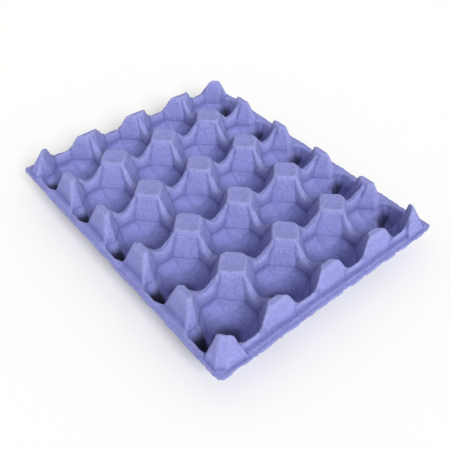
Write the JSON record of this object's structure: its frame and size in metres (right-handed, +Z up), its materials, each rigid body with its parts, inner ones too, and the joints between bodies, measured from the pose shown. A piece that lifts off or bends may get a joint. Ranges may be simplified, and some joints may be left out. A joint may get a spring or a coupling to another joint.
{
  "type": "pulp egg tray",
  "caption": "Shallow moulded pulp tray: a grid of faceted cells between square-topped posts, ringed by a flat flange, for holding eggs upright.",
  "frame": {"origin": "under the middle of the tray, level with the feet of its cells", "axes": "+X along the short side, +Y along the long side, +Z up out of the cells"},
  "size_m": [0.2428, 0.299, 0.0496],
  "materials": {
    "pulp": "dyed blue-violet moulded paper pulp, matt and slightly fibrous"
  },
  "bodies": {
    "root": {"pulp_tray": "pulp"}
  },
  "joints": []
}
